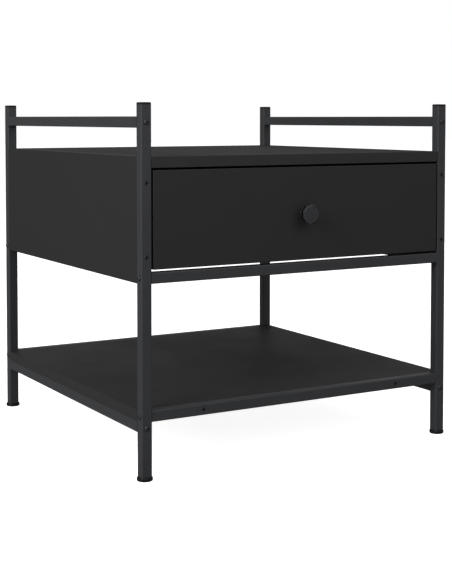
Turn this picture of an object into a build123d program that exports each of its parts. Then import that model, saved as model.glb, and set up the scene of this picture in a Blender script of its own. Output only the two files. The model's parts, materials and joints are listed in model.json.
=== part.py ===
from build123d import *
import os

# Side table with one drawer between four square tube legs, and a shelf below it.
# Millimetres, +Z up, -Y to the front. Z 0 is the floor under the feet, and X 0 and Y 0 are
# the middle of the whole table, with its knob and feet counted.

os.makedirs("parts", exist_ok=True)

# ---- the whole table, measured over the legs ----
width = 510.0
depth = 510.0
height = 500.0
guard_height = 71.0  # top board's upper face up to the leg top
guard_drop = 18.5  # leg top down to the guard rail's upper face
shelf_height = 93.5  # floor to the shelf board's upper face

# ---- square steel tube of the legs and rails ----
tube = 15.0
tube_wall = 1.2
tube_corner = 1.5

# ---- boards ----
board = 15.0
board_edge = 0.4  # rounding of the banded edges
joint_clearance = 0.05  # round a pin, screw or dowel in its hole
hole_clearance = 0.25  # round a bolt that only passes through

# ---- leg caps and feet ----
cap_height = 3.0
foot_height = 5.0
foot_diameter = 21.5
plug_length = 12.0
plug_clearance = 0.1
plug_corner = 0.6
cap_edge = 0.7
foot_lower_edge = 1.4
foot_upper_edge = 1.0

# ---- bolts that hold the rails to the legs ----
bolt_diameter = 4.0
bolt_grip = 10.0  # bolt inside the rail's threaded plug
bolt_head_diameter = 7.6
bolt_head_height = 2.2
bolt_crown = 1.8  # rounding of the head
bolt_socket = 2.5
bolt_socket_depth = 1.3
nut_length = 12.0

# ---- countersunk screws ----
screw_diameter = 4.0
screw_head_diameter = 7.2
panel_screw_grip = 35.0  # screw inside the board's edge
panel_screw_inset = 35.0  # from the side panel's top and bottom edges
shelf_screw_inset = 77.5  # from the rail's ends
back_screw_skin = 2.0  # board left past the tip of a back panel screw
small_screw_diameter = 3.4
small_screw_head_diameter = 6.4
slide_screw_length = 10.0
drawer_screw_grip = 23.0  # screw inside the drawer back's end
recess_reach = 0.52  # cross recess, as shares of the head: arm, arm's width and depth
recess_width = 0.14
recess_depth = 0.8

# ---- cam locks and dowels ----
cam_diameter = 15.0
cam_setback = 24.0  # board end to the cam's centre
cam_skin = 2.5  # board left under a cam
cam_bolt_diameter = 5.0
cam_head_diameter = 6.4
cam_head_length = 4.0
cam_neck = 4.0
cam_hole_diameter = 7.4
cam_slot_length = 7.5
cam_slot_width = 1.2
cam_slot_depth = 1.5
cam_rod_step = 0.6  # rod's radius under the thread's
cam_grip = 10.5  # cam bolt's thread in the other board
dowel_diameter = 8.0
dowel_length = 30.0
dowel_edge = 0.8
cam_end_distance = 60.0  # board corner to the first cam
dowel_end_distance = 130.0
back_cam_spacing = 60.0

# ---- drawer ----
drawer_side_gap = 2.5
drawer_top_gap = 3.0
drawer_bottom_gap = 3.5
drawer_front_height = 131.0
drawer_board = 12.0
drawer_lift = 8.0  # drawer front's lower edge up to the side's lower edge
drawer_drop = 23.0  # drawer front's upper edge down to the side's upper edge
drawer_room = 55.0  # drawer's back end to the back panel
bottom_thickness = 3.0
bottom_lift = 8.0
groove_depth = 6.0
groove_clearance = 0.2
drawer_cam_spacing = 50.0
drawer_cam_skin = 2.5
drawer_screw_inset = 20.0

# ---- ball-bearing slides ----
slide_gap = 12.5  # side panel to drawer side
slide_setback = 2.0  # behind the drawer front
slide_end_gap = 8.0  # slide's back end to the drawer side's back end
slide_overlap = 100.0  # case and drawer members still inside each other, drawer open
slide_height = 35.0
slide_steel = 1.2
slide_side_gap = 2.0  # case member to the drawer side
inner_height = 24.0
cage_steel = 0.6
cage_case_gap = 1.0  # cage to the case member's web
cage_flange_gap = 0.7  # cage to the edges of the drawer member's flanges
cage_drawer_gap = 1.8  # cage to the drawer member's web
cage_end_gap = 2.0
ball_clearance = 0.15
ball_count = 5
ball_pitch = 18.0
slide_screw_inset = 35.0
slide_middle_screw = 180.0  # from the slide's front end

# ---- knob ----
knob_reach = 20.0
knob_diameter = 28.5
knob_sides = 10
knob_head = 9.0
knob_bevel = 3.4
knob_back_bevel = 1.6
knob_base_diameter = 16.0
knob_base_height = 2.0
knob_flare = 2.0
knob_neck_diameter = 11.0
knob_screw_diameter = 4.0
knob_screw_grip = 9.0
knob_screw_head_diameter = 8.0
knob_screw_head_height = 2.6
knob_screw_edge = 1.2

# ---- places that follow from the sizes ----
back_reach = max(bolt_head_height, (foot_diameter - tube) / 2)
front_y = (knob_reach - back_reach - depth) / 2
back_y = front_y + depth
mid_y = front_y + depth / 2
leg_x = (width - tube) / 2
leg_y = (depth - tube) / 2
inner_x = width / 2 - tube  # inner faces of the legs and of the side panels
panel_x = inner_x + board / 2
panel_screw_x = inner_x + min(tube, board) / 2
tube_inside = tube - 2 * tube_wall
tube_inside_corner = max(tube_corner - tube_wall, 0.2)

guard_z = height - guard_drop - tube / 2
surface_height = height - guard_height
case_height = board + drawer_top_gap + drawer_front_height + drawer_bottom_gap + tube
case_bottom = surface_height - case_height
case_rail_z = case_bottom + tube / 2
top_under = surface_height - board
shelf_under = shelf_height - board
shelf_rail_z = shelf_height - tube / 2
shelf_side_z = shelf_under - tube / 2
panel_mid_z = (surface_height + case_bottom) / 2
panel_screw_heights = (surface_height - panel_screw_inset, case_bottom + panel_screw_inset)

drawer_top = top_under - drawer_top_gap
drawer_bottom = drawer_top - drawer_front_height
drawer_mid_z = (drawer_top + drawer_bottom) / 2
box_bottom = drawer_bottom + drawer_lift
drawer_side_height = drawer_front_height - drawer_lift - drawer_drop
box_mid_z = box_bottom + drawer_side_height / 2
drawer_back_y = front_y + board
drawer_side_x = inner_x - slide_gap
drawer_end_y = back_y - tube - board - drawer_room
drawer_side_length = drawer_end_y - drawer_back_y
slide_length = drawer_side_length - slide_setback - slide_end_gap
slide_mid_y = drawer_back_y + slide_setback + slide_length / 2
bottom_z = box_bottom + bottom_lift + bottom_thickness / 2

legs = {
    "front_left": (-1, -1),
    "front_right": (1, -1),
    "back_left": (-1, 1),
    "back_right": (1, 1),
}
sides = {"left": -1, "right": 1}
ends = {"front": -1, "back": 1}


def write(piece, name):
    piece.part.label = name
    export_step(piece.part, f"parts/{name}.step")


def end_plane(x, side, z):
    """On a leg's front or back face, looking out of it."""
    return Plane(origin=(x, mid_y + side * depth / 2, z), z_dir=(0, side, 0))


def outer_plane(side, y, z):
    """On a leg's left or right face, looking out of it."""
    return Plane(origin=(side * width / 2, y, z), z_dir=(side, 0, 0))


def make_board(x_size, y_size, z_size, centre):
    """A board with its edges eased, left for the caller to cut."""
    with BuildPart() as plain:
        with Locations(centre):
            Box(x_size, y_size, z_size)
        fillet(plain.edges(), board_edge)
    return plain.part


def group(solid, planes, name):
    with BuildPart() as copies:
        with Locations(*planes):
            add(solid)
    write(copies, name)


# ---- bolt, screws, cam lock and dowel: each stands on Z 0, with its tip down ----
with BuildPart() as bolt:
    with BuildSketch():
        Circle(bolt_diameter / 2)
    extrude(amount=-tube - bolt_grip)
    with BuildSketch():
        Circle(bolt_head_diameter / 2)
    extrude(amount=bolt_head_height)
    crown = bolt.edges().filter_by(GeomType.CIRCLE).sort_by(Axis.Z)[-1]
    fillet(crown, bolt_crown)
    with BuildSketch(Plane.XY.offset(bolt_head_height)):
        RegularPolygon(bolt_socket / 2, 6, major_radius=False)
    extrude(amount=-bolt_socket_depth, mode=Mode.SUBTRACT)

with BuildPart() as bolt_space:
    with BuildSketch():
        Circle(bolt_diameter / 2 + hole_clearance)
    extrude(amount=-tube)


def countersunk(radius, head_radius, length, clearance, recess):
    """A countersunk screw, or with a clearance the room that it takes."""
    cone = head_radius - radius
    grown = clearance * 2**0.5
    with BuildPart() as screw:
        with BuildSketch(Plane.XZ):
            with BuildLine():
                Polyline(
                    (0, 0),
                    (head_radius + grown, 0),
                    (radius + clearance, -cone - grown + clearance),
                    (radius + clearance, -length + radius),
                    (0, -length - clearance),
                    close=True,
                )
            make_face()
        revolve(axis=Axis.Z)
        if recess:
            arm = 2 * recess_reach * head_radius
            arm_width = 2 * recess_width * head_radius
            with BuildSketch():
                Rectangle(arm, arm_width)
                Rectangle(arm_width, arm)
            extrude(amount=-cone * recess_depth, mode=Mode.SUBTRACT)
    return screw.part


def screw_pair(diameter, head_diameter, length):
    """The screw and the hole that it needs."""
    sizes = (diameter / 2, head_diameter / 2, length)
    return countersunk(*sizes, 0, True), countersunk(*sizes, joint_clearance, False)


large_sizes = (screw_diameter, screw_head_diameter)
small_sizes = (small_screw_diameter, small_screw_head_diameter)
panel_screw, panel_screw_space = screw_pair(*large_sizes, tube + panel_screw_grip)
back_screw, back_screw_space = screw_pair(*large_sizes, tube + board - back_screw_skin)
slide_screw, slide_screw_space = screw_pair(*small_sizes, slide_screw_length)
drawer_screw, drawer_screw_space = screw_pair(*small_sizes, drawer_board + drawer_screw_grip)


def cam_lock(thickness, skin):
    """The cam for a board of this thickness, its face on Z 0 and its bolt coming from -X."""
    with BuildPart() as cam:
        with BuildSketch():
            Circle(cam_diameter / 2 - joint_clearance)
        extrude(amount=skin - thickness + joint_clearance)
        bore_plane = Plane(origin=(0, 0, -thickness / 2), z_dir=(-1, 0, 0))
        with BuildSketch(bore_plane.offset(-cam_neck)):
            Circle(cam_hole_diameter / 2)
        extrude(amount=cam_diameter, mode=Mode.SUBTRACT)
        with BuildSketch():
            Rectangle(cam_slot_length, cam_slot_width)
            Rectangle(cam_slot_width, cam_slot_length)
        extrude(amount=-cam_slot_depth, mode=Mode.SUBTRACT)
    return cam.part


def cam_space(thickness, skin):
    with BuildPart() as room:
        with BuildSketch():
            Circle(cam_diameter / 2)
        extrude(amount=skin - thickness)
    return room.part


with BuildPart() as cam_bolt:
    with BuildSketch():
        Circle(cam_bolt_diameter / 2)
    extrude(amount=-cam_grip)
    with BuildSketch():
        Circle(cam_bolt_diameter / 2 - cam_rod_step)
    extrude(amount=cam_setback)
    with BuildSketch(Plane.XY.offset(cam_setback + cam_neck / 2)):
        Circle(cam_head_diameter / 2)
    extrude(amount=-cam_head_length)

with BuildPart() as cam_bolt_space:
    with BuildSketch():
        Circle(cam_bolt_diameter / 2 + joint_clearance)
    extrude(amount=-cam_grip - joint_clearance)
    with BuildSketch():
        Circle(cam_hole_diameter / 2)
    extrude(amount=cam_setback)

with BuildPart() as dowel:
    with BuildSketch(Plane.XY.offset(-cam_grip)):
        Circle(dowel_diameter / 2)
    extrude(amount=dowel_length)
    fillet(dowel.edges().filter_by(GeomType.CIRCLE), dowel_edge)

with BuildPart() as dowel_space:
    with BuildSketch(Plane.XY.offset(-cam_grip - joint_clearance)):
        Circle(dowel_diameter / 2 + joint_clearance)
    extrude(amount=dowel_length + 2 * joint_clearance)


def cam_planes(origin, into, face, thickness):
    """Where a cam bolt and its cam stand: into points along the bolt to the cam."""
    start = Vector(*origin)
    middle = start + Vector(*into) * cam_setback + Vector(*face) * (thickness / 2)
    return Plane(origin=start, z_dir=into), Plane(origin=middle, x_dir=into, z_dir=face)


# ---- where the fasteners go ----
bolts_of = {}
screws_of = {}
for leg_name, (side, end) in legs.items():
    x = side * leg_x
    y = mid_y + end * leg_y
    bolts_of[leg_name] = [end_plane(x, end, z) for z in (guard_z, shelf_side_z)]
    bolts_of[leg_name] += [outer_plane(side, y, z) for z in (case_rail_z, shelf_rail_z)]
    screws_of[leg_name] = [end_plane(side * panel_screw_x, end, z) for z in panel_screw_heights]

bolt_planes = [plane for planes in bolts_of.values() for plane in planes]
panel_screw_planes = [plane for planes in screws_of.values() for plane in planes]
rail_screw_x = inner_x - shelf_screw_inset
shelf_screw_planes = {
    name: [end_plane(side * rail_screw_x, end, shelf_rail_z) for side in sides.values()]
    for name, end in ends.items()
}
back_screw_planes = [end_plane(side * rail_screw_x, 1, case_rail_z) for side in sides.values()]

top_mid_z = surface_height - board / 2
back_panel_y = back_y - tube - board / 2
back_panel_mid_z = (case_bottom + top_under) / 2
top_cams = {name: [] for name in sides}
back_cams = {name: [] for name in sides}
top_dowels = {name: [] for name in sides}
back_dowels = {name: [] for name in sides}
for name, side in sides.items():
    for end in ends.values():
        cam_y = mid_y + end * (depth / 2 - cam_end_distance)
        dowel_y = mid_y + end * (depth / 2 - dowel_end_distance)
        cam_z = back_panel_mid_z + end * back_cam_spacing / 2
        into = (-side, 0, 0)
        top_start = (side * inner_x, cam_y, top_mid_z)
        back_start = (side * inner_x, back_panel_y, cam_z)
        top_cams[name].append(cam_planes(top_start, into, (0, 0, -1), board))
        back_cams[name].append(cam_planes(back_start, into, (0, -1, 0), board))
        top_dowels[name].append(Plane(origin=(side * inner_x, dowel_y, top_mid_z), z_dir=into))
    dowel_start = (side * inner_x, back_panel_y, back_panel_mid_z)
    back_dowels[name].append(Plane(origin=dowel_start, z_dir=into))


def both(lists):
    """The left and right lists as one."""
    return lists["left"] + lists["right"]


# ---- legs with their caps and feet ----
leg_top = height - cap_height
plug = tube_inside - 2 * plug_clearance
for leg_name, (side, end) in legs.items():
    x = side * leg_x
    y = mid_y + end * leg_y
    with BuildPart() as leg:
        with BuildSketch(Plane((x, y, foot_height))):
            RectangleRounded(tube, tube, tube_corner)
            RectangleRounded(tube_inside, tube_inside, tube_inside_corner, mode=Mode.SUBTRACT)
        extrude(amount=leg_top - foot_height)
        with Locations(*bolts_of[leg_name]):
            add(bolt_space.part, mode=Mode.SUBTRACT)
        with Locations(*screws_of[leg_name]):
            add(panel_screw_space, mode=Mode.SUBTRACT)
    write(leg, f"leg_{leg_name}")

    with BuildPart() as cap:
        with BuildSketch(Plane((x, y, leg_top))):
            RectangleRounded(tube, tube, tube_corner)
        extrude(amount=cap_height)
        fillet(cap.faces().sort_by(Axis.Z)[-1].edges(), cap_edge)
        with BuildSketch(Plane((x, y, leg_top))):
            RectangleRounded(plug, plug, plug_corner)
        extrude(amount=-plug_length)
    write(cap, f"leg_cap_{leg_name}")

    with BuildPart() as foot:
        with BuildSketch(Plane((x, y, 0))):
            Circle(foot_diameter / 2)
        extrude(amount=foot_height)
        fillet(foot.edges().filter_by(GeomType.CIRCLE).sort_by(Axis.Z)[0], foot_lower_edge)
        fillet(foot.edges().filter_by(GeomType.CIRCLE).sort_by(Axis.Z)[-1], foot_upper_edge)
        with BuildSketch(Plane((x, y, foot_height))):
            RectangleRounded(plug, plug, plug_corner)
        extrude(amount=plug_length)
    write(foot, f"foot_{leg_name}")


# ---- rails ----
def make_rail(middle, along, length, screw_space, screw_planes):
    """A square tube between two legs, its ends flush against them."""
    with BuildPart() as rail:
        with BuildSketch(Plane(origin=middle, z_dir=along)):
            RectangleRounded(tube, tube, tube_corner)
            RectangleRounded(tube_inside, tube_inside, tube_inside_corner, mode=Mode.SUBTRACT)
        extrude(amount=length / 2, both=True)
        if screw_planes:
            with Locations(*screw_planes):
                add(screw_space, mode=Mode.SUBTRACT)
    return rail


for name, side in sides.items():
    for kind, z in (("guard_rail", guard_z), ("shelf_rail", shelf_side_z)):
        middle = (side * leg_x, mid_y, z)
        write(make_rail(middle, (0, 1, 0), depth - 2 * tube, None, []), f"{kind}_{name}")

for name, end in ends.items():
    y = mid_y + end * leg_y
    case_screws = back_screw_planes if name == "back" else []
    case_rail = make_rail(
        (0, y, case_rail_z), (1, 0, 0), width - 2 * tube, back_screw_space, case_screws
    )
    write(case_rail, f"case_rail_{name}")
    shelf_rail = make_rail(
        (0, y, shelf_rail_z), (1, 0, 0), width - 2 * tube, panel_screw_space, shelf_screw_planes[name]
    )
    write(shelf_rail, f"shelf_rail_{name}")

with BuildPart() as rail_nut:
    with BuildSketch():
        RectangleRounded(tube_inside, tube_inside, plug_corner)
        Circle(bolt_diameter / 2 + joint_clearance, mode=Mode.SUBTRACT)
    extrude(amount=-nut_length)

group(rail_nut.part, [plane.offset(-tube) for plane in bolt_planes], "rail_end_nuts")
group(bolt.part, bolt_planes, "rail_bolts")
group(panel_screw, panel_screw_planes, "panel_screws")
group(panel_screw, shelf_screw_planes["front"] + shelf_screw_planes["back"], "shelf_screws")
group(back_screw, back_screw_planes, "back_panel_screws")

# ---- case: top board, side panels, back panel ----
board_cam = cam_lock(board, cam_skin)
board_cam_space = cam_space(board, cam_skin)

with BuildPart() as top_board:
    add(make_board(2 * inner_x, depth, board, (0, mid_y, top_mid_z)))
    with Locations(*[bolt_plane for bolt_plane, _ in both(top_cams)]):
        add(cam_bolt_space.part, mode=Mode.SUBTRACT)
    with Locations(*[cam_plane for _, cam_plane in both(top_cams)]):
        add(board_cam_space, mode=Mode.SUBTRACT)
    with Locations(*both(top_dowels)):
        add(dowel_space.part, mode=Mode.SUBTRACT)
write(top_board, "top_board")

back_panel_height = top_under - case_bottom
with BuildPart() as back_panel:
    add(make_board(2 * inner_x, board, back_panel_height, (0, back_panel_y, back_panel_mid_z)))
    with Locations(*[bolt_plane for bolt_plane, _ in both(back_cams)]):
        add(cam_bolt_space.part, mode=Mode.SUBTRACT)
    with Locations(*[cam_plane for _, cam_plane in both(back_cams)]):
        add(board_cam_space, mode=Mode.SUBTRACT)
    with Locations(*both(back_dowels)):
        add(dowel_space.part, mode=Mode.SUBTRACT)
    with Locations(*back_screw_planes):
        add(back_screw_space, mode=Mode.SUBTRACT)
write(back_panel, "back_panel")


def slide_plane(side, along):
    """On a side panel's inner face: X towards the drawer, Y up, at this place along the slide."""
    origin = (side * inner_x, slide_mid_y + along, box_mid_z)
    return Plane(origin=origin, x_dir=(-side, 0, 0), z_dir=(0, side, 0))


def screws_on_slide(side, out, direction):
    """Planes for slide screws this far out from the side panel, heads facing direction."""
    return [
        Plane(origin=(side * (inner_x - out), slide_mid_y + place, box_mid_z), z_dir=direction)
        for place in slide_screw_places
    ]


slide_screw_end = slide_length / 2 - slide_screw_inset
slide_screw_places = (-slide_screw_end, slide_middle_screw - slide_length / 2, slide_screw_end)
case_slide_screws = {
    name: screws_on_slide(side, slide_steel, (-side, 0, 0)) for name, side in sides.items()
}
drawer_slide_screws = {
    name: screws_on_slide(side, slide_gap - slide_steel, (side, 0, 0))
    for name, side in sides.items()
}

for name, side in sides.items():
    with BuildPart() as side_panel:
        panel_centre = (side * panel_x, mid_y, panel_mid_z)
        add(make_board(board, depth - 2 * tube, case_height, panel_centre))
        with Locations(*[bolt_plane for bolt_plane, _ in top_cams[name] + back_cams[name]]):
            add(cam_bolt_space.part, mode=Mode.SUBTRACT)
        with Locations(*top_dowels[name], *back_dowels[name]):
            add(dowel_space.part, mode=Mode.SUBTRACT)
        with Locations(*screws_of[f"front_{name}"], *screws_of[f"back_{name}"]):
            add(panel_screw_space, mode=Mode.SUBTRACT)
        with Locations(*case_slide_screws[name]):
            add(slide_screw_space, mode=Mode.SUBTRACT)
    write(side_panel, f"side_panel_{name}")

case_cams = both(top_cams) + both(back_cams)
group(board_cam, [cam_plane for _, cam_plane in case_cams], "case_cam_locks")
group(cam_bolt.part, [bolt_plane for bolt_plane, _ in case_cams], "case_cam_bolts")
group(dowel.part, both(top_dowels) + both(back_dowels), "case_dowels")

# ---- shelf ----
with BuildPart() as shelf_board:
    shelf_centre = (0, mid_y, shelf_under + board / 2)
    add(make_board(width, depth - 2 * tube, board, shelf_centre))
    with Locations(*shelf_screw_planes["front"], *shelf_screw_planes["back"]):
        add(panel_screw_space, mode=Mode.SUBTRACT)
write(shelf_board, "shelf_board")

# ---- ball-bearing slides ----
flange_inside = slide_height / 2 - slide_steel
ball_radius = (flange_inside - inner_height / 2) / 2 - ball_clearance
ball_z = (flange_inside + inner_height / 2) / 2
slide_depth = slide_gap - slide_side_gap
cage_near = slide_steel + cage_case_gap
cage_far = slide_gap - slide_steel - cage_drawer_gap
inner_near = cage_near + cage_steel + cage_flange_gap
cage_half_height = ball_z + cage_steel / 2
ball_out = (inner_near + slide_depth) / 2
drawer_travel = slide_length - slide_overlap
cage_length = slide_overlap - 2 * cage_end_gap
cage_start = drawer_travel / 2 + cage_end_gap  # from the slide's front end, drawer shut
cage_along = cage_start + cage_length / 2 - slide_length / 2


def channel(near, far, half_height, steel, web_at_near):
    """A C section on the slide plane, from near to far, open on the side away from its web."""
    opening = (near + steel, far) if web_at_near else (near, far - steel)
    with Locations(((near + far) / 2, 0)):
        Rectangle(far - near, 2 * half_height)
    with Locations(((opening[0] + opening[1]) / 2, 0)):
        Rectangle(opening[1] - opening[0], 2 * (half_height - steel), mode=Mode.SUBTRACT)


for name, side in sides.items():
    with BuildPart() as case_slide:
        with BuildSketch(slide_plane(side, 0)):
            channel(0, slide_depth, slide_height / 2, slide_steel, True)
        extrude(amount=slide_length / 2, both=True)
        with Locations(*case_slide_screws[name]):
            add(slide_screw_space, mode=Mode.SUBTRACT)
    write(case_slide, f"case_slide_{name}")

    with BuildPart() as drawer_slide:
        with BuildSketch(slide_plane(side, 0)):
            channel(inner_near, slide_gap, inner_height / 2, slide_steel, False)
        extrude(amount=slide_length / 2, both=True)
        with Locations(*drawer_slide_screws[name]):
            add(slide_screw_space, mode=Mode.SUBTRACT)
    write(drawer_slide, f"drawer_slide_{name}")

    ball_x = side * (inner_x - ball_out)
    cage_y = slide_mid_y + cage_along
    ball_places = [
        (ball_x, cage_y + (i - (ball_count - 1) / 2) * ball_pitch, box_mid_z + row * ball_z)
        for i in range(ball_count)
        for row in (-1, 1)
    ]
    with BuildPart() as ball_cage:
        with BuildSketch(slide_plane(side, cage_along)):
            channel(cage_near, cage_far, cage_half_height, cage_steel, True)
        extrude(amount=cage_length / 2, both=True)
        with Locations(*ball_places):
            Cylinder(ball_radius + joint_clearance, 2 * ball_radius, mode=Mode.SUBTRACT)
    write(ball_cage, f"ball_cage_{name}")

    with BuildPart() as slide_balls:
        with Locations(*ball_places):
            Sphere(ball_radius)
    write(slide_balls, f"slide_balls_{name}")

group(slide_screw, both(case_slide_screws), "case_slide_screws")
group(slide_screw, both(drawer_slide_screws), "drawer_slide_screws")

# ---- drawer ----
drawer_side_mid_x = drawer_side_x - drawer_board / 2
drawer_inner_x = drawer_side_x - drawer_board
drawer_cams = {name: [] for name in sides}
drawer_back_screws = {name: [] for name in sides}
drawer_back_mid_y = drawer_end_y - drawer_board / 2
for name, side in sides.items():
    for row in (-1, 1):
        cam_start = (
            side * drawer_side_mid_x,
            drawer_back_y,
            box_mid_z + row * drawer_cam_spacing / 2,
        )
        drawer_cams[name].append(cam_planes(cam_start, (0, 1, 0), (-side, 0, 0), drawer_board))
        screw_z = box_mid_z + row * (drawer_side_height / 2 - drawer_screw_inset)
        screw_start = (side * drawer_side_x, drawer_back_mid_y, screw_z)
        drawer_back_screws[name].append(Plane(origin=screw_start, z_dir=(side, 0, 0)))

bottom_width = 2 * (drawer_inner_x + groove_depth - groove_clearance)
bottom_front_y = drawer_back_y - groove_depth + groove_clearance
bottom_back_y = drawer_end_y - drawer_board + groove_depth - groove_clearance
bottom_length = bottom_back_y - bottom_front_y
bottom_mid_y = (bottom_front_y + bottom_back_y) / 2

with BuildPart() as groove:
    with Locations((0, bottom_mid_y, bottom_z)):
        Box(
            bottom_width + 2 * groove_clearance,
            bottom_length + 2 * groove_clearance,
            bottom_thickness + 2 * groove_clearance,
        )

front_width = 2 * (inner_x - drawer_side_gap)
knob_plane = Plane(origin=(0, front_y, drawer_mid_z), x_dir=(1, 0, 0), z_dir=(0, -1, 0))
with BuildPart() as drawer_front:
    front_centre = (0, front_y + board / 2, drawer_mid_z)
    add(make_board(front_width, board, drawer_front_height, front_centre))
    add(groove.part, mode=Mode.SUBTRACT)
    with Locations(*[bolt_plane for bolt_plane, _ in both(drawer_cams)]):
        add(cam_bolt_space.part, mode=Mode.SUBTRACT)
    with BuildSketch(knob_plane):
        Circle(knob_screw_diameter / 2 + hole_clearance)
    extrude(amount=-board, mode=Mode.SUBTRACT)
write(drawer_front, "drawer_front")

drawer_cam = cam_lock(drawer_board, drawer_cam_skin)
drawer_cam_space = cam_space(drawer_board, drawer_cam_skin)
for name, side in sides.items():
    with BuildPart() as drawer_side:
        side_mid_y = drawer_back_y + drawer_side_length / 2
        side_centre = (side * drawer_side_mid_x, side_mid_y, box_mid_z)
        add(make_board(drawer_board, drawer_side_length, drawer_side_height, side_centre))
        add(groove.part, mode=Mode.SUBTRACT)
        with Locations(*[bolt_plane for bolt_plane, _ in drawer_cams[name]]):
            add(cam_bolt_space.part, mode=Mode.SUBTRACT)
        with Locations(*[cam_plane for _, cam_plane in drawer_cams[name]]):
            add(drawer_cam_space, mode=Mode.SUBTRACT)
        with Locations(*drawer_slide_screws[name]):
            add(slide_screw_space, mode=Mode.SUBTRACT)
        with Locations(*drawer_back_screws[name]):
            add(drawer_screw_space, mode=Mode.SUBTRACT)
    write(drawer_side, f"drawer_side_{name}")

with BuildPart() as drawer_back:
    back_centre = (0, drawer_back_mid_y, box_mid_z)
    add(make_board(2 * drawer_inner_x, drawer_board, drawer_side_height, back_centre))
    add(groove.part, mode=Mode.SUBTRACT)
    with Locations(*both(drawer_back_screws)):
        add(drawer_screw_space, mode=Mode.SUBTRACT)
write(drawer_back, "drawer_back")

with BuildPart() as drawer_bottom:
    with Locations((0, bottom_mid_y, bottom_z)):
        Box(bottom_width, bottom_length, bottom_thickness)
write(drawer_bottom, "drawer_bottom")

group(drawer_cam, [cam_plane for _, cam_plane in both(drawer_cams)], "drawer_cam_locks")
group(cam_bolt.part, [bolt_plane for bolt_plane, _ in both(drawer_cams)], "drawer_cam_bolts")
group(drawer_screw, both(drawer_back_screws), "drawer_back_screws")

# ---- knob and its screw ----
head_start = knob_reach - knob_head
with BuildPart() as knob:
    with BuildSketch(knob_plane.offset(head_start)):
        RegularPolygon(knob_diameter / 2, knob_sides, rotation=180 / knob_sides)
    extrude(amount=knob_head)
    chamfer(knob.faces().sort_by(Axis.Y)[0].edges(), knob_bevel)
    chamfer(knob.faces().sort_by(Axis.Y)[-1].edges(), knob_back_bevel)
    with BuildSketch(Plane(origin=knob_plane.origin, z_dir=(0, 0, 1))):
        with BuildLine():
            Polyline(
                (0, 0),
                (knob_base_diameter / 2, 0),
                (knob_base_diameter / 2, -knob_base_height),
                (knob_neck_diameter / 2, -knob_base_height - knob_flare),
                (knob_neck_diameter / 2, -head_start + knob_flare),
                (knob_neck_diameter / 2 + knob_flare, -head_start),
                (0, -head_start),
                close=True,
            )
        make_face()
    revolve(axis=Axis(knob_plane.origin, (0, 1, 0)))
    with BuildSketch(knob_plane):
        Circle(knob_screw_diameter / 2 + joint_clearance)
    extrude(amount=knob_screw_grip + joint_clearance, mode=Mode.SUBTRACT)
write(knob, "knob")

with BuildPart() as knob_screw:
    with BuildSketch(knob_plane.offset(knob_screw_grip)):
        Circle(knob_screw_diameter / 2)
    extrude(amount=-knob_screw_grip - board)
    with BuildSketch(knob_plane.offset(-board)):
        Circle(knob_screw_head_diameter / 2)
    extrude(amount=-knob_screw_head_height)
    fillet(knob_screw.edges().filter_by(GeomType.CIRCLE).sort_by(Axis.Y)[-1], knob_screw_edge)
    with BuildSketch(knob_plane.offset(-board - knob_screw_head_height)):
        Rectangle(recess_reach * knob_screw_head_diameter, recess_width * knob_screw_head_diameter)
        Rectangle(recess_width * knob_screw_head_diameter, recess_reach * knob_screw_head_diameter)
    extrude(amount=recess_depth * knob_screw_head_height, mode=Mode.SUBTRACT)
write(knob_screw, "knob_screw")
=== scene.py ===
import json
import math
import bmesh
import bpy
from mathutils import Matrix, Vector


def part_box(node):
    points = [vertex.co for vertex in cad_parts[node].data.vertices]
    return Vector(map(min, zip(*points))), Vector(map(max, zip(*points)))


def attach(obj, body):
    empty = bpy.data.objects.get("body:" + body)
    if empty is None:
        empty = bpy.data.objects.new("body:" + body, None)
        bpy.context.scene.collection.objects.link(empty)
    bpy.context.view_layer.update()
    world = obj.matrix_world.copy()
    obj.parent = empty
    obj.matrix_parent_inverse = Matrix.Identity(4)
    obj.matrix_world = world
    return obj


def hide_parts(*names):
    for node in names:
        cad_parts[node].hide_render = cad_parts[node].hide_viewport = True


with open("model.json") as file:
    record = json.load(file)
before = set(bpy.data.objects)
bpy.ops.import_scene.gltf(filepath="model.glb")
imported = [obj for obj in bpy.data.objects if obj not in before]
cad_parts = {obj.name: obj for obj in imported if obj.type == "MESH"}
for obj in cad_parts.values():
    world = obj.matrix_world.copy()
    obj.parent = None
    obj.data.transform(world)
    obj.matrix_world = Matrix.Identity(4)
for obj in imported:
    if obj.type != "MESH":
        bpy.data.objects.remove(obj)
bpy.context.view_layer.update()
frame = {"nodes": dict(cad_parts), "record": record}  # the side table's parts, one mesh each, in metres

mm = 0.001
near = 0.01 * mm  # places closer than this count as one

# camera
camera = {
    "place": (-0.9641, -1.6889, 0.4792),
    "turn": 30.11,  # degrees to the right of straight ahead
    "tilt": 2.65,  # degrees down
    "lens": 76.09,
    "sensor": 36.0,
    "shift": -0.2,  # the camera looks nearly level, so the legs stay upright
}


def makeCamera(s):
    data = bpy.data.cameras.new("studioCamera")
    data.sensor_width = s["sensor"]
    data.lens = s["lens"]
    data.shift_y = s["shift"]
    data.clip_start = 0.05
    data.clip_end = 100
    studioCamera = bpy.data.objects.new("studioCamera", data)
    studioCamera.location = s["place"]
    studioCamera.rotation_euler = (math.radians(90 - s["tilt"]), 0, math.radians(-s["turn"]))
    bpy.context.scene.collection.objects.link(studioCamera)
    bpy.context.scene.camera = studioCamera


makeCamera(camera)
print("camera placed")


# materials, with the sizes and depths of their patterns in mm
def toLinear(hexColour):
    channels = [int(hexColour[i:i + 2], 16) / 255 for i in (0, 2, 4)]
    linear = [c / 12.92 if c <= 0.04045 else ((c + 0.055) / 1.055) ** 2.4 for c in channels]
    return (*linear, 1.0)


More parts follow.
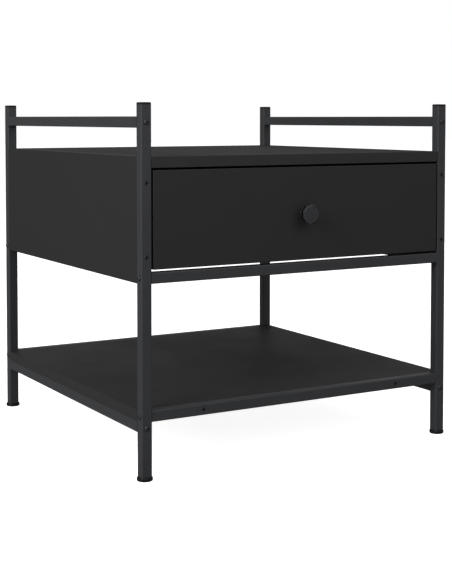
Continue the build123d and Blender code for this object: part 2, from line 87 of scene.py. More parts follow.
def addNode(tree, kind, settings=None, links=None):
    # settings go to the node's sockets where they have that name or number, else to its options
    node = tree.nodes.new(kind)
    for key, value in (settings or {}).items():
        if isinstance(key, int) or key in node.inputs:
            node.inputs[key].default_value = value
        else:
            setattr(node, key, value)
    for key, socket in (links or {}).items():
        tree.links.new(socket, node.inputs[key])
    return node


def perMetre(millimetres):
    return 1 / (millimetres * mm)


def startMaterial(name):
    # an empty material and the coordinates that its patterns follow
    material = bpy.data.materials.new(name)
    material.use_nodes = True
    tree = material.node_tree
    tree.nodes.clear()
    place = addNode(tree, "ShaderNodeTexCoord").outputs["Object"]
    return material, tree, place


def shadedSkin(tree, place, s):
    # slow changes of colour and roughness over the surface, as s gives them
    cloud = addNode(
        tree, "ShaderNodeTexNoise",
        {"Scale": perMetre(s["cloud"]), "Detail": 4.0, "Roughness": 0.6},
        {"Vector": place},
    ).outputs["Fac"]
    colour = addNode(
        tree, "ShaderNodeMix",
        {"data_type": "RGBA", 6: toLinear(s["dark"]), 7: toLinear(s["light"])},
        {0: cloud},
    ).outputs[2]
    roughness = addNode(
        tree, "ShaderNodeMapRange",
        {"From Min": 0.3, "From Max": 0.7, "To Min": s["roughness"][0], "To Max": s["roughness"][1]},
        {"Value": cloud},
    ).outputs["Result"]
    return colour, roughness


def closeMaterial(tree, settings, links):
    shader = addNode(tree, "ShaderNodeBsdfPrincipled", settings, links)
    addNode(tree, "ShaderNodeOutputMaterial", links={"Surface": shader.outputs["BSDF"]})


powderCoat = {
    "dark": "27282a",
    "light": "2d2e31",
    "roughness": (0.46, 0.56),
    "specular": 0.45,
    "cloud": 70.0,
    "peel": 2.4,  # between the crests of the orange peel
    "peelDepth": 0.03,
    "tooth": 0.6,  # between the grains, drawn coarser than they are so that they show
    "toothDepth": 0.02,
}


def makePowderCoat(s):
    # polyester powder baked on steel: satin black with a fine tooth over a soft orange peel
    material, tree, place = startMaterial("blackPowderCoatedSteel")
    colour, roughness = shadedSkin(tree, place, s)
    peel = addNode(
        tree, "ShaderNodeTexNoise", {"Scale": perMetre(s["peel"]), "Detail": 1.0}, {"Vector": place}
    )
    tooth = addNode(
        tree, "ShaderNodeTexVoronoi",
        {"feature": "SMOOTH_F1", "Scale": perMetre(s["tooth"]), "Smoothness": 0.5},
        {"Vector": place},
    )
    softBump = addNode(
        tree, "ShaderNodeBump", {"Distance": s["peelDepth"] * mm}, {"Height": peel.outputs["Fac"]}
    )
    fineBump = addNode(
        tree, "ShaderNodeBump",
        {"Distance": s["toothDepth"] * mm, "invert": True},
        {"Height": tooth.outputs["Distance"], "Normal": softBump.outputs["Normal"]},
    )
    closeMaterial(
        tree, {"Specular IOR Level": s["specular"]},
        {"Base Color": colour, "Roughness": roughness, "Normal": fineBump.outputs["Normal"]},
    )
    return material


melamine = {
    "dark": "1c1d1c",
    "light": "202120",
    "roughness": (0.6, 0.7),
    "specular": 0.3,
    "cloud": 120.0,
    "pore": 1.3,  # between the pearls pressed into the face, drawn coarser than they are
    "poreDepth": 0.02,
}


def makeMelamine(s):
    # resin paper pressed on chipboard by a pearl-textured plate: dull, even, faintly dimpled black
    material, tree, place = startMaterial("blackMelamineFace")
    colour, roughness = shadedSkin(tree, place, s)
    pearl = addNode(
        tree, "ShaderNodeTexVoronoi",
        {"feature": "SMOOTH_F1", "Scale": perMetre(s["pore"]), "Smoothness": 1.0},
        {"Vector": place},
    )
    bump = addNode(
        tree, "ShaderNodeBump", {"Distance": s["poreDepth"] * mm}, {"Height": pearl.outputs["Distance"]}
    )
    closeMaterial(
        tree, {"Specular IOR Level": s["specular"]},
        {"Base Color": colour, "Roughness": roughness, "Normal": bump.outputs["Normal"]},
    )
    return material


edgeBand = {
    "dark": "1d1e1d",
    "light": "212221",
    "roughness": (0.5, 0.58),
    "specular": 0.35,
    "cloud": 40.0,
    "ripple": 1.8,  # between the scraper's marks along the band
    "rippleDepth": 0.015,
}


def makeEdgeBand(s):
    # ABS strip glued round the board and scraped flush: a touch glossier than the faces
    material, tree, place = startMaterial("blackEdgeBand")
    colour, roughness = shadedSkin(tree, place, s)
    ripple = addNode(
        tree, "ShaderNodeTexNoise", {"Scale": perMetre(s["ripple"]), "Detail": 2.0}, {"Vector": place}
    )
    bump = addNode(
        tree, "ShaderNodeBump", {"Distance": s["rippleDepth"] * mm}, {"Height": ripple.outputs["Fac"]}
    )
    closeMaterial(
        tree, {"Specular IOR Level": s["specular"]},
        {"Base Color": colour, "Roughness": roughness, "Normal": bump.outputs["Normal"]},
    )
    return material


plastic = {
    "dark": "08080a",
    "light": "0c0c0e",
    "roughness": (0.5, 0.62),
    "specular": 0.25,
    "cloud": 8.0,
    "spark": 0.5,  # between the pits of the spark-eroded mould
    "sparkDepth": 0.02,
}


def makePlastic(s):
    # moulded polyethylene: deep black, slightly waxy, with the mould's fine pitting
    material, tree, place = startMaterial("blackMouldedPlastic")
    colour, roughness = shadedSkin(tree, place, s)
    pits = addNode(
        tree, "ShaderNodeTexNoise", {"Scale": perMetre(s["spark"]), "Detail": 2.0}, {"Vector": place}
    )
    bump = addNode(
        tree, "ShaderNodeBump", {"Distance": s["sparkDepth"] * mm}, {"Height": pits.outputs["Fac"]}
    )
    closeMaterial(
        tree, {"Specular IOR Level": s["specular"]},
        {"Base Color": colour, "Roughness": roughness, "Normal": bump.outputs["Normal"]},
    )
    return material


blackZinc = {
    "dark": "1f2022",
    "light": "26272a",
    "roughness": (0.42, 0.52),
    "specular": 0.4,
    "cloud": 3.0,
    "grit": 0.4,  # between the zinc flakes, drawn coarser than they are
    "gritDepth": 0.008,
}


def makeBlackZinc(s):
    # steel dipped in black zinc flake and sealer: semi-bright black with small cloudy marks
    material, tree, place = startMaterial("blackZincFlakeCoating")
    colour, roughness = shadedSkin(tree, place, s)
    grit = addNode(
        tree, "ShaderNodeTexNoise", {"Scale": perMetre(s["grit"]), "Detail": 2.0}, {"Vector": place}
    )
    bump = addNode(
        tree, "ShaderNodeBump", {"Distance": s["gritDepth"] * mm}, {"Height": grit.outputs["Fac"]}
    )
    closeMaterial(
        tree, {"Specular IOR Level": s["specular"]},
        {"Base Color": colour, "Roughness": roughness, "Normal": bump.outputs["Normal"]},
    )
    return material


blackNickel = {
    "dark": "57585b",
    "light": "5f6063",
    "roughness": (0.15, 0.21),
    "cloud": 6.0,
    "ripple": 1.2,  # between the polisher's waves left under the plating
    "rippleDepth": 0.004,
}


def makeBlackNickel(s):
    # black nickel plated on die-cast zinc: a dark cool mirror, so each facet shows its own tone
    material, tree, place = startMaterial("blackNickelPlate")
    colour, roughness = shadedSkin(tree, place, s)
    ripple = addNode(
        tree, "ShaderNodeTexNoise", {"Scale": perMetre(s["ripple"]), "Detail": 1.0}, {"Vector": place}
    )
    bump = addNode(
        tree, "ShaderNodeBump", {"Distance": s["rippleDepth"] * mm}, {"Height": ripple.outputs["Fac"]}
    )
    closeMaterial(
        tree, {"Metallic": 1.0},
        {"Base Color": colour, "Roughness": roughness, "Normal": bump.outputs["Normal"]},
    )
    return material


brightZinc = {
    "dark": "9a9da1",
    "light": "b9bcbf",
    "roughness": (0.3, 0.44),
    "cloud": 9.0,
    "streak": 0.35,  # across a rolling streak, which runs front to back
    "streakLength": 60.0,
    "streakDepth": 0.006,
}


def makeBrightZinc(s):
    # rolled steel strip, zinc plated: pale grey metal with fine streaks along the rolling direction
    material, tree, place = startMaterial("zincPlatedSteelStrip")
    colour, roughness = shadedSkin(tree, place, s)
    stretched = addNode(
        tree, "ShaderNodeMapping",
        {"Scale": (perMetre(s["streak"]), perMetre(s["streakLength"]), perMetre(s["streak"]))},
        {"Vector": place},
    )
    streaks = addNode(
        tree, "ShaderNodeTexNoise", {"Scale": 1.0, "Detail": 2.0},
        {"Vector": stretched.outputs["Vector"]},
    )
    bump = addNode(
        tree, "ShaderNodeBump", {"Distance": s["streakDepth"] * mm}, {"Height": streaks.outputs["Fac"]}
    )
    closeMaterial(
        tree, {"Metallic": 1.0},
        {"Base Color": colour, "Roughness": roughness, "Normal": bump.outputs["Normal"]},
    )
    return material


castZinc = {
    "dark": "85878a",
    "light": "a2a4a6",
    "roughness": (0.42, 0.56),
    "cloud": 4.0,
    "grain": 0.5,  # between the pits
    "grainDepth": 0.02,
}


def makeCastZinc(s):
    # die-cast zinc as it leaves the mould: dull grey with a pitted, cloudy skin
    material, tree, place = startMaterial("dieCastZinc")
    colour, roughness = shadedSkin(tree, place, s)
    grain = addNode(
        tree, "ShaderNodeTexNoise", {"Scale": perMetre(s["grain"]), "Detail": 3.0}, {"Vector": place}
    )
    bump = addNode(
        tree, "ShaderNodeBump", {"Distance": s["grainDepth"] * mm}, {"Height": grain.outputs["Fac"]}
    )
    closeMaterial(
        tree, {"Metallic": 1.0},
        {"Base Color": colour, "Roughness": roughness, "Normal": bump.outputs["Normal"]},
    )
    return material


ballSteel = {
    "dark": "b4b6b8",
    "light": "c6c8ca",
    "roughness": (0.08, 0.16),
    "cloud": 2.0,
}


def makeBallSteel(s):
    # hardened chrome steel, ground and lapped: mirror bright under a film of grease
    material, tree, place = startMaterial("lappedBearingSteel")
    colour, roughness = shadedSkin(tree, place, s)
    closeMaterial(tree, {"Metallic": 1.0}, {"Base Color": colour, "Roughness": roughness})
    return material


beech = {
    "dark": "b98a5b",
    "light": "d3a878",
    "roughness": (0.55, 0.7),
    "specular": 0.3,
    "cloud": 5.0,
    "fleck": 0.6,  # across a fleck of grain
    "fleckLength": 9.0,
    "fleckDepth": 0.02,
}


def makeBeech(s):
    # turned and fluted beech: warm pinkish wood with short dark flecks along the dowel
    material, tree, place = startMaterial("turnedBeech")
    colour, roughness = shadedSkin(tree, place, s)
    stretched = addNode(
        tree, "ShaderNodeMapping",
        {"Scale": (perMetre(s["fleckLength"]), perMetre(s["fleck"]), perMetre(s["fleck"]))},
        {"Vector": place},
    )
    flecks = addNode(
        tree, "ShaderNodeTexNoise", {"Scale": 1.0, "Detail": 2.0},
        {"Vector": stretched.outputs["Vector"]},
    )
    bump = addNode(
        tree, "ShaderNodeBump", {"Distance": s["fleckDepth"] * mm}, {"Height": flecks.outputs["Fac"]}
    )
    closeMaterial(
        tree, {"Specular IOR Level": s["specular"]},
        {"Base Color": colour, "Roughness": roughness, "Normal": bump.outputs["Normal"]},
    )
    return material


hardboard = {
    "dark": "18181a",
    "light": "242426",
    "roughness": (0.6, 0.75),
    "specular": 0.3,
    "cloud": 14.0,
    "fibre": 1.0,  # between the fibres
    "fibreDepth": 0.05,
}


def makeHardboard(s):
    # pressed wood fibre rolled with black paint: flat and dusty, with the fibres showing through
    material, tree, place = startMaterial("blackPaintedHardboard")
    colour, roughness = shadedSkin(tree, place, s)
    fibres = addNode(
        tree, "ShaderNodeTexNoise",
        {"Scale": perMetre(s["fibre"]), "Detail": 4.0, "Distortion": 1.5},
        {"Vector": place},
    )
    bump = addNode(
        tree, "ShaderNodeBump", {"Distance": s["fibreDepth"] * mm}, {"Height": fibres.outputs["Fac"]}
    )
    closeMaterial(
        tree, {"Specular IOR Level": s["specular"]},
        {"Base Color": colour, "Roughness": roughness, "Normal": bump.outputs["Normal"]},
    )
    return material


finishes = {
    "black_powder_coat": makePowderCoat(powderCoat),
    "black_melamine_board": makeMelamine(melamine),
    "black_hardboard": makeHardboard(hardboard),
    "black_plastic": makePlastic(plastic),
    "black_fasteners": makeBlackZinc(blackZinc),
    "knob_metal": makeBlackNickel(blackNickel),
    "zinc_plated_steel": makeBrightZinc(brightZinc),
    "cast_zinc": makeCastZinc(castZinc),
    "bearing_steel": makeBallSteel(ballSteel),
    "beech": makeBeech(beech),
}
bandFinish = makeEdgeBand(edgeBand)

for subpart in frame["record"]["subparts"]:
    cadMesh = frame["nodes"][subpart["node"]].data
    cadMesh.materials.clear()
    cadMesh.materials.append(finishes[subpart["material_slot"]])
print("materials made and put on the parts")


# modelling steps that several pieces share
def deselectAll():
    if bpy.context.mode != "OBJECT":
        bpy.ops.object.mode_set(mode="OBJECT")
    bpy.ops.object.select_all(action="DESELECT")


def pick(piece):
    deselectAll()
    piece.select_set(True)
    bpy.context.view_layer.objects.active = piece


def startBox(name, low, high):
    # a cube primitive brought to these corners
    deselectAll()
    bpy.ops.mesh.primitive_cube_add(size=1, location=(Vector(low) + Vector(high)) / 2)
    piece = bpy.context.object
    piece.scale = Vector(high) - Vector(low)
    bpy.ops.object.transform_apply(location=True, rotation=True, scale=True)
    piece.name = piece.data.name = name
    return piece


def bevelWhere(piece, width, segments, chosen):
    # bevels the edges whose two ends pass the test
    pick(piece)
    bpy.ops.object.mode_set(mode="EDIT")
    bpy.ops.mesh.select_mode(type="EDGE")
    bpy.ops.mesh.select_all(action="DESELECT")
    shape = bmesh.from_edit_mesh(piece.data)
    for edge in shape.edges:
        edge.select = chosen(edge.verts[0].co, edge.verts[1].co)
    bmesh.update_edit_mesh(piece.data)
    bpy.ops.mesh.bevel(offset=width, segments=segments, affect="EDGES", profile=0.5)
    bpy.ops.object.mode_set(mode="OBJECT")


def joinPieces(pieces, name):
    deselectAll()
    for piece in pieces:
        piece.select_set(True)
    bpy.context.view_layer.objects.active = pieces[0]
    bpy.ops.object.join()
    joined = bpy.context.object
    joined.name = joined.data.name = name
    return joined


def smooth(piece, degrees):
    # smooth shading across shallow edges, with the large faces kept flat right up to their bevels
    pick(piece)
    bpy.ops.object.shade_smooth_by_angle(angle=math.radians(degrees))
    flatten = piece.modifiers.new("flatten", "WEIGHTED_NORMAL")
    flatten.keep_sharp = True
    bpy.ops.object.modifier_apply(modifier=flatten.name)


def selectEnd(piece, direction):
    # goes into edit mode with the face furthest along this direction selected
    pick(piece)
    bpy.ops.object.mode_set(mode="EDIT")
    bpy.ops.mesh.select_mode(type="FACE")
    bpy.ops.mesh.select_all(action="DESELECT")
    shape = bmesh.from_edit_mesh(piece.data)
    end = max(shape.faces, key=lambda face: face.calc_center_median().dot(Vector(direction)))
    end.select_set(True)
    bmesh.update_edit_mesh(piece.data)


def turnPiece(name, sides, profile):
    # a cylinder along Z whose top face is drawn out through these (height, radius) pairs in mm
    deselectAll()
    heights = [height * mm for height, radius in profile]
    radii = [radius * mm for height, radius in profile]
    bpy.ops.mesh.primitive_cylinder_add(
        vertices=sides, radius=radii[0], depth=heights[1] - heights[0],
        location=(0, 0, (heights[0] + heights[1]) / 2),
    )
    piece = bpy.context.object
    bpy.ops.object.transform_apply(location=True, rotation=True, scale=True)
    piece.name = piece.data.name = name
    selectEnd(piece, (0, 0, 1))
    for step in range(1, len(profile)):
        if step > 1:
            rise = (0, 0, heights[step] - heights[step - 1])
            bpy.ops.mesh.extrude_region_move(TRANSFORM_OT_translate={"value": rise})
        change = radii[step] / radii[step - 1]
        bpy.ops.transform.resize(
            value=(change, change, 1), center_override=(0, 0, heights[step])
        )
    bpy.ops.object.mode_set(mode="OBJECT")
    return piece


def settle(piece, place, direction):
    # turns a piece made along Z to this direction, and puts the place in its mesh
    pick(piece)
    piece.location = place
    piece.rotation_euler = Vector(direction).to_track_quat("Z", "Y").to_euler()
    bpy.ops.object.transform_apply(location=True, rotation=True, scale=True)
    return piece


def copyPiece(piece):
    pick(piece)
    bpy.ops.object.duplicate(linked=False)
    return bpy.context.object


def makeRod(place, radius, depth, direction):
    # a round cutter with its middle at this place
    deselectAll()
    bpy.ops.mesh.primitive_cylinder_add(vertices=48, radius=radius, depth=depth)
    return settle(bpy.context.object, place, direction)


def cutAway(piece, cutters):
    # takes the cutters out of the piece and deletes them
    cutter = joinPieces(cutters, "cutter")
    pick(piece)
    cut = piece.modifiers.new("cut", "BOOLEAN")
    cut.operation = "DIFFERENCE"
    cut.solver = "EXACT"
    cut.object = cutter
    bpy.ops.object.modifier_apply(modifier=cut.name)
    bpy.data.objects.remove(cutter)


def looseBoxes(node):
    # the corners of each separate solid in a CAD node
    deselectAll()
    copy = frame["nodes"][node].copy()
    copy.data = copy.data.copy()
    bpy.context.scene.collection.objects.link(copy)
    pick(copy)
    bpy.ops.object.mode_set(mode="EDIT")
    bpy.ops.mesh.select_all(action="SELECT")
    bpy.ops.mesh.remove_doubles(threshold=0.001 * mm)
    bpy.ops.mesh.separate(type="LOOSE")
    bpy.ops.object.mode_set(mode="OBJECT")
    boxes = []
    for part in list(bpy.context.selected_objects):
        corners = [vertex.co for vertex in part.data.vertices]
        boxes.append((
            Vector([min(corner[axis] for corner in corners) for axis in range(3)]),
            Vector([max(corner[axis] for corner in corners) for axis in range(3)]),
        ))
        bpy.data.objects.remove(part)
    return boxes


def finishPiece(piece, material, body, slotName, *nodes):
    piece.data.materials.clear()
    piece.data.materials.append(material)
    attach(piece, body)
    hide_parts(*nodes)


# boards
boards = {
    "band": 0.8,  # mm of strip on each narrow side
    "ease": 0.4,  # rounding of the strip's outer edges
    "seam": 0.12,  # bevel on each side of the glue line
    "play": 0.1,  # round each cam lock in its pocket
    "names": {
        "topBoard": ("top_board", "frame"),
        "sidePanelLeft": ("side_panel_left", "frame"),
        "sidePanelRight": ("side_panel_right", "frame"),
        "backPanel": ("back_panel", "frame"),
        "shelfBoard": ("shelf_board", "frame"),
        "drawerFront": ("drawer_front", "drawer"),
    },
}


def makeStrip(low, high, axis, end, width, s):
    # one edge band on the low or high end of this axis, its outer edges eased
    stripLow, stripHigh = low.copy(), high.copy()
    outer = high[axis] if end else low[axis]
    if end:
        stripLow[axis] = outer - width
    else:
        stripHigh[axis] = outer + width
    strip = startBox("strip", stripLow, stripHigh)
    bevelWhere(
        strip, s["ease"] * mm, 3,
        lambda a, b: abs(a[axis] - outer) < near and abs(b[axis] - outer) < near,
    )
    strip.data.materials.append(bandFinish)
    return strip


def makePockets(low, high, thin, cams, s):
    # round cutters for the cam locks let into this board, open to the face they are flush with
    cutters = []
    for camLow, camHigh in cams:
        middle = (camLow + camHigh) / 2
        if all(low[axis] < middle[axis] < high[axis] for axis in range(3)):
            radius = max(camHigh - camLow) / 2 + s["play"] * mm
            camLow, camHigh = camLow.copy(), camHigh.copy()
            if middle[thin] < (low[thin] + high[thin]) / 2:
                camLow[thin] = low[thin] - 1 * mm
            else:
                camHigh[thin] = high[thin] + 1 * mm
            direction = Vector((0, 0, 0))
            direction[thin] = 1
            depth = camHigh[thin] - camLow[thin]
            cutters.append(makeRod((camLow + camHigh) / 2, radius, depth, direction))
    return cutters


def makeBoard(name, node, body, cams, s):
    low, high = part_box(node)
    size = high - low
    thin = min(range(3), key=lambda axis: size[axis])
    first, second = [axis for axis in range(3) if axis != thin]
    width = s["band"] * mm
    inset = Vector((width, width, width))
    inset[thin] = 0
    core = startBox(name, low + inset, high - inset)
    bevelWhere(core, s["seam"] * mm, 1, lambda a, b: True)
    pockets = makePockets(low, high, thin, cams, s)
    if pockets:
        cutAway(core, pockets)
    core.data.materials.append(finishes["black_melamine_board"])
    strips = [makeStrip(low, high, first, end, width, s) for end in (False, True)]
    inner = Vector((0, 0, 0))
    inner[first] = width
    strips += [makeStrip(low + inner, high - inner, second, end, width, s) for end in (False, True)]
    board = joinPieces([core] + strips, name)
    smooth(board, 40)
    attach(board, body)
    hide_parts(node)
    return board


camBoxes = looseBoxes("case_cam_locks")
for boardName, (node, body) in boards["names"].items():
    makeBoard(boardName, node, body, camBoxes, boards)
print("boards banded")


# leg caps and feet
caps = {
    "flange": 3.0,  # all in mm
    "crown": 0.35,
    "crownInset": 0.65,
    "crownEase": 0.1,
    "corner": 1.5,
    "edge": 0.7,
    "seam": 0.25,
    "plugInset": 1.3,
    "plug": 12.0,
    "taper": 0.97,
}


def makeCap(name, node, s):
    low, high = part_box(node)
    low.z = high.z - s["flange"] * mm
    top = high.z - s["crown"] * mm
    middle = (low + high) / 2
    cap = startBox(name, low, (high.x, high.y, top))
    bevelWhere(cap, s["corner"] * mm, 4, lambda a, b: abs(a.z - b.z) > near)
    bevelWhere(cap, s["edge"] * mm, 3, lambda a, b: a.z > top - near and b.z > top - near)
    bevelWhere(cap, s["seam"] * mm, 1, lambda a, b: a.z < low.z + near and b.z < low.z + near)
    selectEnd(cap, (0, 0, 1))
    bpy.ops.mesh.inset(thickness=s["crownInset"] * mm, depth=0)
    bpy.ops.transform.translate(value=(0, 0, s["crown"] * mm))
    bpy.ops.mesh.bevel(offset=s["crownEase"] * mm, segments=1, affect="EDGES")
    selectEnd(cap, (0, 0, -1))
    bpy.ops.mesh.inset(thickness=s["plugInset"] * mm, depth=0)
    bpy.ops.mesh.extrude_region_move(TRANSFORM_OT_translate={"value": (0, 0, -s["plug"] * mm)})
    bpy.ops.transform.resize(
        value=(s["taper"], s["taper"], 1), center_override=(middle.x, middle.y, low.z)
    )
    bpy.ops.object.mode_set(mode="OBJECT")
    smooth(cap, 30)
    finishPiece(cap, finishes["black_plastic"], "frame", "black_plastic", node)


feet = {
    "profile": [  # (height, radius) in mm, from the floor up into the leg
        (0.0, 9.35), (0.25, 10.0), (0.7, 10.5), (1.4, 10.75), (4.0, 10.75), (4.55, 10.6),
        (4.9, 10.2), (5.0, 9.75), (5.0, 6.2), (16.0, 6.1), (17.0, 5.5),
    ],
    "sides": 48,
    "rim": 2.4,  # mm, the ring that stands on the floor
    "dish": 0.7,
}


def makeFoot(name, node, s):
    low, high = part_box(node)
    foot = turnPiece(name, s["sides"], s["profile"])
    selectEnd(foot, (0, 0, -1))
    bpy.ops.mesh.inset(thickness=s["rim"] * mm, depth=0)
    bpy.ops.mesh.inset(thickness=s["dish"] * mm, depth=-s["dish"] * mm)
    bpy.ops.object.mode_set(mode="OBJECT")
    settle(foot, ((low.x + high.x) / 2, (low.y + high.y) / 2, low.z), (0, 0, 1))
    smooth(foot, 35)
    finishPiece(foot, finishes["black_plastic"], "frame", "black_plastic", node)


for end in ("front", "back"):
    for side in ("left", "right"):
        corner = end.capitalize() + side.capitalize()
        makeCap("legCap" + corner, f"leg_cap_{end}_{side}", caps)
        makeFoot("foot" + corner, f"foot_{end}_{side}", feet)
print("caps and feet moulded")

# bolts
bolts = {
    "profile": [  # (height, radius) in mm, from the tip out to the button head
        (-25.0, 1.6), (-24.4, 2.0), (0.0, 2.0), (0.0, 3.65), (0.15, 3.8), (0.8, 3.75),
        (1.35, 3.45), (1.8, 2.95), (2.1, 2.35), (2.2, 1.9),
    ],
    "sides": 32,
    "head": 2.2,
    "socketRadius": 1.45,  # a 2.5 mm hexagon's corner
    "socketDepth": 1.3,
}


def makeBolts(s):
    bolt = turnPiece("railBolt", s["sides"], s["profile"])
    bpy.ops.mesh.primitive_cylinder_add(
        vertices=6, radius=s["socketRadius"] * mm, depth=2 * s["socketDepth"] * mm,
        location=(0, 0, s["head"] * mm),
    )
    cutAway(bolt, [bpy.context.object])
    copies = []
    for low, high in looseBoxes("rail_bolts"):
        size = high - low
        middle = (low + high) / 2
        axis = max(range(3), key=lambda index: size[index])
        outward = Vector((0, 0, 0))
        outward[axis] = math.copysign(1, middle[axis])
        seat = middle + outward * (size[axis] / 2 - s["head"] * mm)
        copies.append(settle(copyPiece(bolt), seat, outward))
    bpy.data.objects.remove(bolt)
    allBolts = joinPieces(copies, "railBolts")
    smooth(allBolts, 35)
    finishPiece(allBolts, finishes["black_fasteners"], "frame", "black_fasteners", "rail_bolts")


makeBolts(bolts)
print("bolts turned")

# countersunk screws
screws = {
    "tip": [(0.4, 0.3), (2.2, 2.0)],  # (distance from the tip, radius) in mm
    "head": [(1.6, 2.0), (0.12, 3.48), (0.0, 3.36)],  # (depth under the face, radius)
    "sides": 32,
    "recess": 4.4,  # mm across the cross
    "arm": 1.5,
    "recessDepth": 1.9,
    "core": 1.5,  # radius of the round middle of the cross
    "coreDepth": 2.6,
}


def makeScrews(name, node, s):
    # all the screws of one node, which have one length and lie along Y
    boxes = looseBoxes(node)
    length = (boxes[0][1].y - boxes[0][0].y) / mm
    profile = [(at - length, radius) for at, radius in s["tip"]]
    profile += [(-depth, radius) for depth, radius in s["head"]]
    screw = turnPiece("screw", s["sides"], profile)
    depth = s["recessDepth"] * mm
    across, arm = s["recess"] * mm / 2, s["arm"] * mm / 2
    cutAway(screw, [startBox("cut", (-across, -arm, -depth), (across, arm, depth))])
    cutAway(screw, [startBox("cut", (-arm, -across, -depth), (arm, across, depth))])
    cutAway(screw, [makeRod((0, 0, 0), s["core"] * mm, 2 * s["coreDepth"] * mm, (0, 0, 1))])
    copies = []
    for low, high in boxes:
        middle = (low + high) / 2
        outward = Vector((0, math.copysign(1, middle.y), 0))
        face = middle + outward * (high.y - low.y) / 2
        copies.append(settle(copyPiece(screw), face, outward))
    bpy.data.objects.remove(screw)
    allScrews = joinPieces(copies, name)
    smooth(allScrews, 35)
    finishPiece(allScrews, finishes["black_fasteners"], "frame", "black_fasteners", node)


for name, node in (
    ("panelScrews", "panel_screws"), ("shelfScrews", "shelf_screws"),
    ("backPanelScrews", "back_panel_screws"),
):
    makeScrews(name, node, screws)
print("screws turned")

# knob
knob = {
    "sides": 10,
    "head": 9.0,  # all in mm
    "crown": 2.7,
    "underside": 1.6,
    "table": 0.7,
    "edge": 0.12,
    "stem": [(0.0, 8.0), (1.4, 8.0), (1.8, 7.6), (1.9, 5.6), (9.0, 5.5), (11.0, 7.5)],
    "stemSides": 48,
}


def makeKnob(s):
    low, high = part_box("knob")
    middle = (low + high) / 2
    radius = (high.z - low.z) / 2
    front = low.y + s["table"] * mm
    back = low.y + s["head"] * mm
    deselectAll()
    bpy.ops.mesh.primitive_cylinder_add(
        vertices=s["sides"], radius=radius, depth=back - front,
        location=(middle.x, (front + back) / 2, middle.z), rotation=(math.radians(90), 0, 0),
    )
    head = bpy.context.object
    bpy.ops.object.transform_apply(location=True, rotation=True, scale=True)
    crown = (s["crown"] - s["table"]) * mm
    bevelWhere(head, crown, 1, lambda a, b: a.y < front + near and b.y < front + near)
    bevelWhere(head, s["underside"] * mm, 1, lambda a, b: a.y > back - near and b.y > back - near)
    selectEnd(head, (0, -1, 0))
    bpy.ops.mesh.poke(offset=s["table"] * mm)  # the table's ten shallow facets
    bpy.ops.object.mode_set(mode="OBJECT")
    soften = head.modifiers.new("soften", "BEVEL")
    soften.width = s["edge"] * mm
    soften.segments = 2
    soften.limit_method = "ANGLE"
    soften.angle_limit = math.radians(20)
    pick(head)
    bpy.ops.object.modifier_apply(modifier=soften.name)
    stem = settle(
        turnPiece("stem", s["stemSides"], s["stem"]), (middle.x, high.y, middle.z), (0, -1, 0)
    )
    smooth(stem, 35)  # the head stays flat shaded, facet by facet
    whole = joinPieces([head, stem], "drawerKnob")
    finishPiece(whole, finishes["knob_metal"], "drawer", "knob_metal", "knob")


makeKnob(knob)
print("knob faceted")

# ball-bearing slides
slides = {
    "steel": 1.2,  # all in mm
    "bend": 2.2,
    "hole": 4.6,
    "slotLength": 10.0,
    "slotPitch": 60.0,
    "endClear": 22.0,  # from the slide's end to the first slot
    "screwClear": 12.0,  # from a screw to the nearest slot
}


def makeHole(place, radius, length, depth):
    # a round cutter along X, drawn out along Y into a slot where it has a length
    cutter = makeRod(place, radius, depth, (1, 0, 0))
    if length > 0:
        pick(cutter)
        bpy.ops.object.mode_set(mode="EDIT")
        bpy.ops.mesh.select_mode(type="VERT")
        bpy.ops.mesh.select_all(action="DESELECT")
        shape = bmesh.from_edit_mesh(cutter.data)
        for vertex in shape.verts:
            vertex.select_set(vertex.co.y > place[1] + near)
        bmesh.update_edit_mesh(cutter.data)
        bpy.ops.transform.translate(value=(0, length, 0))
        bpy.ops.object.mode_set(mode="OBJECT")
    return cutter


def makeSlide(name, node, screwNode, side, webOutside, body, s):
    # rolled strip bent into a channel; its web lies on the panel, or on the drawer's side
    low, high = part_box(node)
    webEnd = side if webOutside else -side
    slide = startBox(name, low, high)
    webX = high.x if webEnd > 0 else low.x
    openX = low.x if webEnd > 0 else high.x
    bevelWhere(
        slide, s["bend"] * mm, 4,
        lambda a, b: abs(a.x - webX) < near and abs(b.x - webX) < near and abs(a.y - b.y) > near,
    )
    pick(slide)
    bpy.ops.object.mode_set(mode="EDIT")
    bpy.ops.mesh.select_mode(type="FACE")
    bpy.ops.mesh.select_all(action="DESELECT")
    shape = bmesh.from_edit_mesh(slide.data)
    for face in shape.faces:
        isOpen = abs(face.calc_center_median().x - openX) < near
        face.select_set(isOpen or abs(face.normal.y) > 0.9)
    bmesh.update_edit_mesh(slide.data)
    bpy.ops.mesh.delete(type="FACE")
    bpy.ops.object.mode_set(mode="OBJECT")
    wall = slide.modifiers.new("wall", "SOLIDIFY")
    wall.thickness = s["steel"] * mm
    wall.offset = -1
    wall.use_even_offset = True
    bpy.ops.object.modifier_apply(modifier=wall.name)
    middle = (low + high) / 2
    screws = [box for box in looseBoxes(screwNode) if (box[0].x + box[1].x) * side > 0]
    screwPlaces = [(box[0] + box[1]) / 2 for box in screws]
    radius = (screws[0][1].z - screws[0][0].z) / 2
    depth = 6 * s["steel"] * mm
    cutters = [makeHole((webX, at.y, middle.z), radius, 0, depth) for at in screwPlaces]
    slotY = low.y + s["endClear"] * mm
    while slotY < high.y - s["endClear"] * mm:
        clear = min(abs(slotY + s["slotLength"] * mm / 2 - at.y) for at in screwPlaces)
        if clear > s["screwClear"] * mm:
            size = (s["slotLength"] - s["hole"]) * mm
            cutters.append(makeHole((webX, slotY, middle.z), s["hole"] * mm / 2, size, depth))
        slotY += s["slotPitch"] * mm
    cutAway(slide, cutters)
    smooth(slide, 35)
    finishPiece(slide, finishes["zinc_plated_steel"], body, "zinc_plated_steel", node)


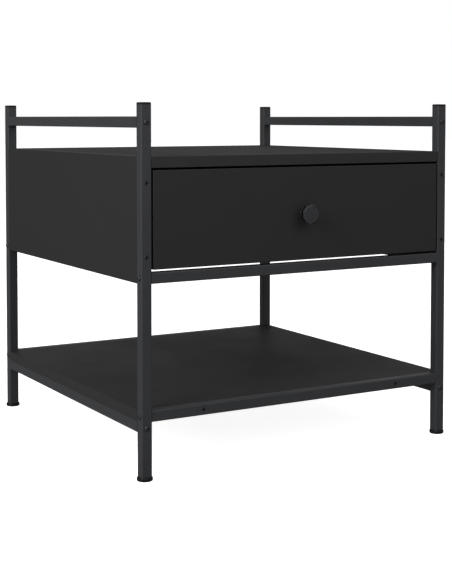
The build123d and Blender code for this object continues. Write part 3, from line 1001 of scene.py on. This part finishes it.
for name, side in (("left", -1), ("right", 1)):
    end = name.capitalize()
    makeSlide(
        "caseSlide" + end, f"case_slide_{name}", "case_slide_screws", side, True, "frame", slides
    )
    makeSlide(
        "drawerSlide" + end, f"drawer_slide_{name}", "drawer_slide_screws", side, False, "drawer",
        slides,
    )
print("slides bent and drilled")


# studio
studio = {
    "floor": "f4f4f4",
    "floorSize": 40.0,
    "floorGlow": 1.0,  # a translucent table lit from below, which keeps shadows faint
    "surround": "ffffff",
    "glow": 0.26,  # strength of the surround on the table
    "lamps": {  # each with its width and height
        "leftSoftbox": {
            "place": (-2.4, -0.8, 1.5), "size": (1.6, 1.6), "power": 75, "aim": (0, 0, 0.25),
        },
        "overheadSoftbox": {
            "place": (0.0, 0.2, 2.8), "size": (1.0, 1.0), "power": 2, "aim": (0, 0, 0),
        },
        "frontSoftbox": {
            "place": (0.4, -2.6, 2.3), "size": (2.8, 2.8), "power": 43, "aim": (0, 0, 0.25),
        },
        "backStrip": {  # lower than the top board, so it reaches the shelf and not the top
            "place": (1.4, 2.4, 0.21), "size": (2.4, 0.4), "power": 4, "aim": (0, 0, 0.21),
        },
    },
}


def makeSurround(s):
    # the eye sees a white room, while the table is lit by it more softly
    world = bpy.data.worlds.new("whiteRoom")
    world.use_nodes = True
    tree = world.node_tree
    tree.nodes.clear()
    seen = addNode(tree, "ShaderNodeLightPath").outputs["Is Camera Ray"]
    strength = addNode(
        tree, "ShaderNodeMapRange", {"To Min": s["glow"], "To Max": 1.0}, {"Value": seen}
    )
    light = addNode(
        tree, "ShaderNodeBackground", {"Color": toLinear(s["surround"])},
        {"Strength": strength.outputs["Result"]},
    )
    addNode(tree, "ShaderNodeOutputWorld", links={"Surface": light.outputs["Background"]})
    bpy.context.scene.world = world


def makeFloor(s):
    deselectAll()
    bpy.ops.mesh.primitive_plane_add(size=s["floorSize"])
    floor = bpy.context.object
    floor.name = floor.data.name = "studioFloor"
    material, tree = startMaterial("paleStudioFloor")[:2]
    closeMaterial(
        tree,
        {
            "Base Color": toLinear(s["floor"]), "Roughness": 0.9, "Specular IOR Level": 0.1,
            "Emission Color": toLinear(s["floor"]), "Emission Strength": s["floorGlow"],
        },
        {},
    )
    floor.data.materials.append(material)
    floor.visible_glossy = False  # the black finishes mirror the soft room, not the lit table
    floor.visible_diffuse = False


def makeLamp(name, s):
    data = bpy.data.lights.new(name, "AREA")
    data.shape = "RECTANGLE"
    data.size, data.size_y = s["size"]
    data.energy = s["power"]
    lamp = bpy.data.objects.new(name, data)
    lamp.location = s["place"]
    aim = Vector(s["aim"]) - Vector(s["place"])
    lamp.rotation_euler = aim.to_track_quat("-Z", "Y").to_euler()
    lamp.visible_camera = False
    bpy.context.scene.collection.objects.link(lamp)


makeSurround(studio)
makeFloor(studio)
for lampName, lampSettings in studio["lamps"].items():
    makeLamp(lampName, lampSettings)
bpy.context.scene.view_settings.view_transform = "Standard"
print("studio lit")
